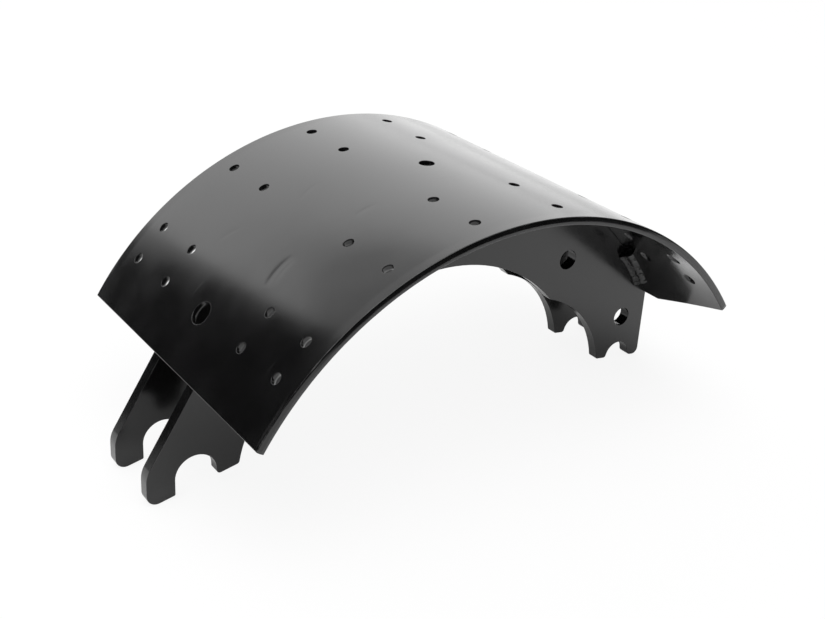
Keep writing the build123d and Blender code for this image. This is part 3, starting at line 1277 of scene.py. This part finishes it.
@dataclass
class StitchWelds:
    """The rippled beads in the corner between one web and the table."""

    node: str
    name: str
    outer_side: float
    joint_radius: float = 0.1845
    web_face: float = 0.025
    leg: float = 0.0052
    crown_offset: float = 0.002
    length: float = 0.030
    first_angle: float = -50.0531425
    pitch_angle: float = 34.7687617
    count: int = 4
    ripple_pitch: float = 0.0021
    ripple_height: float = 0.00110
    ridge: float = 0.0012
    rings: int = 120
    sides: int = 96

    def tree(self, values: dict[str, float | int], material: Material) -> NodeTree:
        """Writes the tree that lays the beads along the joint.

        Args:
            values: The sizes that it takes, by name.
            material: Their finish.

        Returns:
            The tree.
        """
        writer = TreeWriter.group(self.name + "_beads", NodeKind.GEOMETRY)
        writer.socket_in("Base", SocketKind.GEOMETRY)
        sizes = writer.sizes_in(values)
        inputs = {
            "Count": sizes["Count"],
            "Start Location": writer.joined(sizes["First"], 0.0, 0.0),
            "Offset": writer.joined(sizes["Pitch"], 0.0, 0.0),
        }
        middles = writer.add("GeometryNodeMeshLine", inputs, mode="OFFSET")
        inputs = {
            "Vertices": sizes["Sides"],
            "Side Segments": sizes["Rings"],
            "Radius": 1.0,
            "Depth": 2.0,
        }
        rod = writer.add("GeometryNodeMeshCylinder", inputs, fill_type="TRIANGLE_FAN")
        rods, middle = writer.repeat(middles.outputs[0], rod.outputs["Mesh"], "bead_middle")
        inputs = {
            "Geometry": self._shape(writer, rods, middle, sizes),
            "Base Radius": sizes["Joint Radius"],
            "Neutral Height": 0.0,
        }
        return writer.give_out(writer.use(roll_group(), inputs)[0], material)

    @staticmethod
    def _shape(
        writer: TreeWriter, rods: Socket, middle: Socket, sizes: dict[str, Socket]
    ) -> Socket:
        """Turns plain rods into beads with scale-like ripples and full ends.

        Args:
            writer: The tree's writer.
            rods: The rods, each about its bead's middle.
            middle: The middle of each vertex's bead.
            sizes: The tree's size inputs.

        Returns:
            The beads, clipped to the corner that they fill.
        """
        off = writer.vector("SUBTRACT", writer.place(), middle)
        across, up, share = writer.split(off)
        half = writer.math("MULTIPLY", sizes["Length"], 0.5)
        along = writer.math("MULTIPLY", share, half)
        on_joint = writer.math("ADD", writer.split(middle)[0], along)
        to_end = writer.math("ABSOLUTE", share)

        # Across the bead's face this runs from -1 at the table's toe to 1 at the web's toe.
        lean = writer.math("SUBTRACT", writer.math("MULTIPLY", across, -1.0), up)
        lean = writer.math("DIVIDE", writer.clamp(lean, -TOE_LEAN, TOE_LEAN), TOE_LEAN)

        # Ripples bow backwards at both toes of the bead and drift with the welder's hand.
        skin = writer.joined(on_joint, writer.math("MULTIPLY", lean, FACE_REACH), 0.0)
        drift = writer.speckle(skin, DRIFT_WAVES, 2.0)
        bow = writer.math("SUBTRACT", 1.0, writer.math("MULTIPLY", lean, lean))
        phase = writer.math("DIVIDE", along, sizes["Ripple Pitch"])
        phase = writer.math("MULTIPLY_ADD", bow, BOW_SHIFT, phase)
        phase = writer.math("MULTIPLY_ADD", drift, DRIFT_SHIFT, phase)
        ripple = writer.math("POWER", writer.math("FRACT", phase), RIPPLE_POWER)
        swell = writer.speckle(skin, SWELL_WAVES, 1.0)
        swell = writer.math("MULTIPLY_ADD", swell, SWELL_SPREAD, LEAST_SWELL)
        ripple = writer.math("MULTIPLY", ripple, swell)
        ripple = writer.math("MULTIPLY", ripple, sizes["Ripple Height"])

        # A ridge runs along each toe of the bead, with a trough between them.
        trough = writer.math("SUBTRACT", lean, TROUGH_PLACE)
        trough = writer.math("MULTIPLY_ADD", drift, TROUGH_WANDER, trough)
        rail = writer.span(writer.math("ABSOLUTE", trough), TROUGH_BANK)
        ridge = writer.math("MULTIPLY", rail, sizes["Ridge"])
        bare = writer.math("MULTIPLY_ADD", rail, RAIL_COVER, 1.0)
        ripple = writer.math("MULTIPLY", ripple, bare)
        lumps = writer.speckle(skin, LUMP_WAVES, 1.0)
        lumps = writer.math("MULTIPLY_ADD", lumps, LUMP_HEIGHT, LUMP_DROP)

        # The bead flares towards its ends, which stop short and square.
        relief = writer.math("ADD", writer.math("ADD", ripple, ridge), lumps)
        flare = writer.span(to_end, FLARE_RUN, (0.0, FLARE_HEIGHT))
        relief = writer.math("ADD", relief, flare)
        end = writer.math("MULTIPLY", writer.span(to_end, STOP_RUN), STOP_SHRINK)
        shrink = writer.math("SUBTRACT", 1.0, end)
        radius = writer.math("ADD", sizes["Face Radius"], relief)
        radius = writer.math("MULTIPLY", radius, shrink)

        # Both toes lie where the round face meets the web and the table.
        offset = sizes["Crown Offset"]
        squared = writer.math("MULTIPLY", radius, radius)
        reach = writer.math("SUBTRACT", squared, writer.math("MULTIPLY", offset, offset))
        toe = writer.math("SUBTRACT", writer.math("SQRT", reach), offset)
        side = writer.math("SUBTRACT", writer.math("MULTIPLY", across, radius), offset)
        side = writer.clamp(side, 0.0, toe)
        down = writer.math("MULTIPLY", up, writer.math("MULTIPLY", radius, -1.0))
        depth = writer.clamp(writer.math("SUBTRACT", down, offset), 0.0, toe)
        height = writer.math("MULTIPLY", depth, -1.0)
        out = writer.math("ADD", sizes["Web Face"], side)
        out = writer.math("MULTIPLY", out, sizes["Side"])
        return writer.moved(rods, writer.joined(on_joint, out, height))

    def build(self, material: Material, placement: ShoePlacement) -> Piece:
        """Makes the beads of one web.

        Args:
            material: Their finish.
            placement: Where the shoe's plane lies.

        Returns:
            The finished piece.
        """
        values = {
            "Joint Radius": self.joint_radius,
            "Web Face": self.web_face,
            "Face Radius": hypot(self.leg + self.crown_offset, self.crown_offset),
            "Crown Offset": self.crown_offset,
            "Length": self.length,
            "First": self.joint_radius * radians(self.first_angle),
            "Pitch": self.joint_radius * radians(self.pitch_angle),
            "Ripple Pitch": self.ripple_pitch,
            "Ripple Height": self.ripple_height,
            "Ridge": self.ridge,
            "Side": self.outer_side,
            "Count": self.count,
            "Rings": self.rings,
            "Sides": self.sides,
        }
        base = bpy.data.meshes.new("empty")
        piece = run_tree(self.tree(values, material), base, values, self.name)
        work = bmesh.new()
        work.from_mesh(piece.data)
        bmesh.ops.remove_doubles(work, verts=work.verts, dist=BEAD_GAP)
        bmesh.ops.dissolve_degenerate(work, dist=BEAD_GAP, edges=work.edges)
        bmesh.ops.recalc_face_normals(work, faces=work.faces)
        work.to_mesh(piece.data)
        work.free()
        piece.data.transform(placement.matrix())
        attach(piece, BODY)
        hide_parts(self.node)
        return piece


# --- Studio --------------------------------------------------------------------------------


def level_board(name: str, size: tuple[float, float], height: float, material: Material) -> Piece:
    """Makes a flat rectangle that lies level.

    Args:
        name: Its name.
        size: Its width and its length.
        height: Its height.
        material: Its finish.

    Returns:
        The rectangle.
    """
    mesh = bpy.data.meshes.new(name)
    corners = [(-1, -1), (1, -1), (1, 1), (-1, 1)]
    places = [(x * size[0] / 2, y * size[1] / 2, height) for x, y in corners]
    mesh.from_pydata(places, [], [(0, 1, 2, 3)])
    mesh.materials.append(material)
    return new_object(name, mesh)


@dataclass(frozen=True)
class StudioGear:
    """Something that hangs in the studio and faces the shoe.

    Attributes:
        name: Its name.
        place: Its middle.
        target: The point that it faces.
        size: Its width and height.
    """

    name: str
    place: Point
    target: Point
    size: tuple[float, float]

    def facing(self, front: str) -> Matrix:
        """Gives the turn that points one of its own axes at the target.

        Args:
            front: The axis.

        Returns:
            The turn.
        """
        way = Vector(self.target) - Vector(self.place)
        return way.to_track_quat(front, "Y").to_matrix().to_4x4()


@dataclass(frozen=True)
class SoftBox(StudioGear):
    """A soft lamp.

    Attributes:
        power: Its power in watts.
    """

    power: float

    def build(self) -> Piece:
        """Makes the lamp.

        Returns:
            The lamp.
        """
        light = bpy.data.lights.new(self.name, "AREA")
        light.shape = "RECTANGLE"
        light.size, light.size_y = self.size
        light.energy = self.power
        lamp = new_object(self.name, light)
        lamp.matrix_world = Matrix.Translation(self.place) @ self.facing("-Z")
        return lamp


@dataclass(frozen=True)
class BlackFlag(StudioGear):
    """A black card that only reflections see, as glossy black work is lit with.

    Attributes:
        roll: How far it is turned in its own plane.
    """

    roll: float = 0.0

    def build(self, material: Material) -> Piece:
        """Makes the card.

        Args:
            material: Its black cloth.

        Returns:
            The card.
        """
        card = level_board(self.name, self.size, 0.0, material)
        roll = Matrix.Rotation(radians(self.roll), 4, "Z")
        card.matrix_world = Matrix.Translation(self.place) @ self.facing("Z") @ roll
        card.visible_camera = False
        card.visible_diffuse = False
        card.visible_shadow = False
        card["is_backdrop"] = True
        return card


WHITE = (1.0, 1.0, 1.0, 1.0)


@dataclass
class Studio:
    """The floor, the lamps and the white surroundings."""

    floor_size: float = 14.0
    floor_colour: float = 0.90
    floor_glow: float = 0.22
    floor_white: float = 0.88
    floor_roughness: float = 0.95
    cloth_tone: float = 0.002
    ambient: float = 0.70
    lamps: tuple[SoftBox, ...] = (
        SoftBox("top_softbox", (-0.2, -0.3, 2.2), (0.15, 0.0, 0.05), (2.2, 2.2), 30.0),
        SoftBox("back_softbox", (0.93, 2.98, 1.58), (0.15, 0.0, 0.21), (4.6, 1.78), 29.5),
        SoftBox("low_softbox", (0.93, 2.6, 0.325), (0.93, 0.0, 0.325), (4.6, 0.67), 7.8),
        SoftBox("strip_softbox", (0.93, 2.6, 0.175), (0.93, 0.0, 0.175), (4.6, 0.37), 4.0),
    )
    flags: tuple[BlackFlag, ...] = (
        BlackFlag("flag_left", (-1.386, 0.762, 0.85), (-0.046, -0.203, 0.3), (2.29, 1.75), 2.0),
        BlackFlag("flag_front", (0.3, -0.45, 0.26), (0.3, 0.0, 0.26), (2.4, 0.50)),
    )

    def build(self, floor_height: float) -> None:
        """Sets up the studio.

        Args:
            floor_height: The height of what the shoe stands on.
        """
        self._world()
        self._floor(floor_height)
        for lamp in self.lamps:
            lamp.build()
        cloth = self._cloth()
        for flag in self.flags:
            flag.build(cloth)

    @staticmethod
    def _white_rays(writer: TreeWriter) -> Socket:
        """Tells the rays that see the white backdrop from those that light.

        Args:
            writer: The writer of the tree that needs it.

        Returns:
            1 for those that see it, and 0 for the others.
        """
        path = writer.add("ShaderNodeLightPath").outputs
        seen = writer.math("ADD", path["Is Camera Ray"], path["Is Glossy Ray"])
        return writer.math("MINIMUM", writer.math("ADD", seen, path["Is Transmission Ray"]), 1.0)

    def _world(self) -> None:
        """Makes the surroundings: white to look at, softer as a light."""
        world = bpy.data.worlds.new("studio")
        writer = TreeWriter.within(world)
        level = (self.ambient, self.ambient, self.ambient, 1.0)
        colour = writer.mix(self._white_rays(writer), level, WHITE)
        light = writer.add("ShaderNodeBackground", {"Color": colour, "Strength": 1.0})
        writer.end("ShaderNodeOutputWorld", light)
        bpy.context.scene.world = world

    def _cloth(self) -> Material:
        """Makes the black cloth of the cards.

        Returns:
            The material.
        """
        material = bpy.data.materials.new("black_cloth")
        writer = TreeWriter.within(material)
        tone = (self.cloth_tone, self.cloth_tone, self.cloth_tone, 1.0)
        inputs = {"Base Color": tone, "Roughness": 1.0, "Specular IOR Level": 0.0}
        writer.end("ShaderNodeOutputMaterial", writer.add("ShaderNodeBsdfPrincipled", inputs))
        return material

    def _floor(self, height: float) -> None:
        """Makes the pale floor, which keeps the shoe's shadow.

        Args:
            height: Its height.
        """
        material = bpy.data.materials.new("pale_floor")
        writer = TreeWriter.within(material)
        camera = writer.add("ShaderNodeLightPath").outputs["Is Camera Ray"]
        extra = self.floor_white - self.floor_glow
        lift = writer.math("MULTIPLY", self._white_rays(writer), self.floor_glow)
        lift = writer.math("MULTIPLY_ADD", camera, extra, lift)
        shaded = (self.floor_colour * (1.0 - self.floor_white),) * 3 + (1.0,)
        inputs = {
            "Base Color": writer.mix(camera, (self.floor_colour,) * 3 + (1.0,), shaded),
            "Roughness": self.floor_roughness,
            "Specular IOR Level": 0.0,
            "Emission Color": WHITE,
            "Emission Strength": lift,
        }
        writer.end("ShaderNodeOutputMaterial", writer.add("ShaderNodeBsdfPrincipled", inputs))
        level_board("floor", (self.floor_size, self.floor_size), height, material)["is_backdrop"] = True


@dataclass(frozen=True)
class Viewpoint:
    """The camera's place and its lens.

    Attributes:
        place: Where it stands.
        forward: Where it looks.
        upward: Its upward side.
        sensor: The sensor's width in millimetres.
        lens: Focal length in millimetres.
        shift: How far the picture is moved on the sensor, across and up.
        clip: The nearest and the farthest place that it sees.
    """

    place: Point = (-0.239522, -0.569221, 0.387428)
    forward: Point = (0.506217, 0.741500, -0.440347)
    upward: Point = (0.220877, 0.382100, 0.897313)
    sensor: float = 36.0
    lens: float = 56.31
    shift: tuple[float, float] = (0.0101, 0.0051)
    clip: tuple[float, float] = (0.01, 50.0)

    def build(self) -> Piece:
        """Makes the camera and gives it to the scene.

        Returns:
            The camera.
        """
        data = bpy.data.cameras.new("camera")
        data.sensor_width = self.sensor
        data.lens = self.lens
        data.shift_x, data.shift_y = self.shift
        data.clip_start, data.clip_end = self.clip
        camera = new_object("camera", data)
        forward = Vector(self.forward).normalized()
        right = forward.cross(Vector(self.upward)).normalized()
        upward = right.cross(forward)
        turn = Matrix((right, upward, -forward)).transposed().to_4x4()
        camera.matrix_world = Matrix.Translation(self.place) @ turn
        bpy.context.scene.camera = camera
        return camera


# The table's dents: both ends, then bow, width, spread and depth
TABLE_DENTS = (
    Dent((-0.1262, -0.0288), (-0.1040, -0.0250), 0.0018, 0.0019, 0.0036, 0.00009),
    Dent((-0.1242, -0.0330), (-0.1055, -0.0290), 0.0016, 0.0010, 0.0018, 0.00003),
    Dent((-0.1245, 0.0328), (-0.1075, 0.0260), 0.0010, 0.0020, 0.0010, 0.000045),
    Dent((-0.0655, -0.0280), (-0.0495, -0.0281), 0.0012, 0.0011, 0.0024, 0.00004),
    Dent((-0.0750, 0.0150), (-0.0585, 0.0208), 0.0010, 0.0011, 0.0020, 0.00003),
)


def log_piece(piece: Piece) -> None:
    """Reports a finished piece."""
    LOG.info("%s: %d faces", piece.name, len(piece.data.polygons))


def main() -> None:
    """Builds the dressed shoe and its studio, piece by piece."""
    logging.basicConfig(level=logging.INFO, format="%(name)s %(message)s")
    for leftover in list(bpy.data.objects):
        bpy.data.objects.remove(leftover)
    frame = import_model()
    cad_box = [list(corner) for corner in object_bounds()]
    nodes = frame["nodes"]

    shop = PaintShop()
    table_paint = shop.paint(TABLE_COAT)
    web_paint = shop.paint(WEB_COAT)
    weld_paint = shop.paint(WELD_COAT)
    placement = ShoePlacement()

    log_piece(LiningTable(dents=TABLE_DENTS).build(table_paint, placement))
    for end, side in (("front", -1.0), ("rear", 1.0)):
        web = WebPlate(node="web_" + end, name="stamped_web_" + end, outer_side=side)
        log_piece(web.build(web_paint, nodes))
        welds = StitchWelds(node="welds_" + end, name="stitch_welds_" + end, outer_side=side)
        log_piece(welds.build(weld_paint, placement))

    Studio().build(cad_box[0][2])
    Viewpoint().build()
    bpy.context.scene.view_settings.view_transform = "Standard"


if __name__ == "__main__":
    main()
